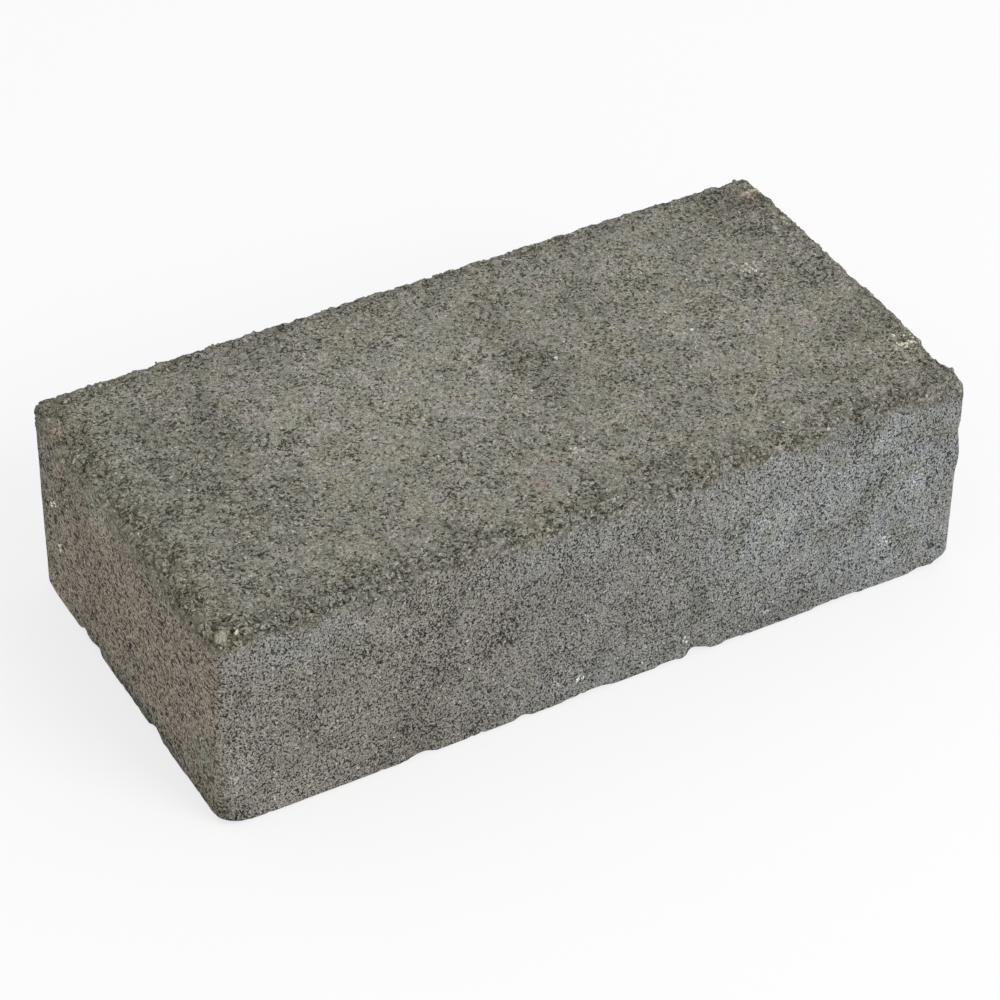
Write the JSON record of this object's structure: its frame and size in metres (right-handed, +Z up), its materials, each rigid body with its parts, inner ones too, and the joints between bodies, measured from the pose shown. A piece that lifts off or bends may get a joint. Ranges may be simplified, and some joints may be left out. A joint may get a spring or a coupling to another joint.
{
  "type": "concrete paving stone",
  "caption": "Rectangular pressed concrete paving stone with a coarse wearing face, a worn rounded rim and fine-pitted upright sides.",
  "frame": {"origin": "middle of the bedding face, on the surface that the stone lies on", "axes": "+X along the length, +Y across the width, +Z up from the bedding face to the wearing face"},
  "size_m": [0.203, 0.102, 0.057],
  "materials": {
    "concrete": "dark grey semi-dry concrete, open and coarse on the wearing face and rim, fine-pitted on the sides"
  },
  "bodies": {
    "root": {"paving_stone": "concrete"}
  },
  "joints": []
}
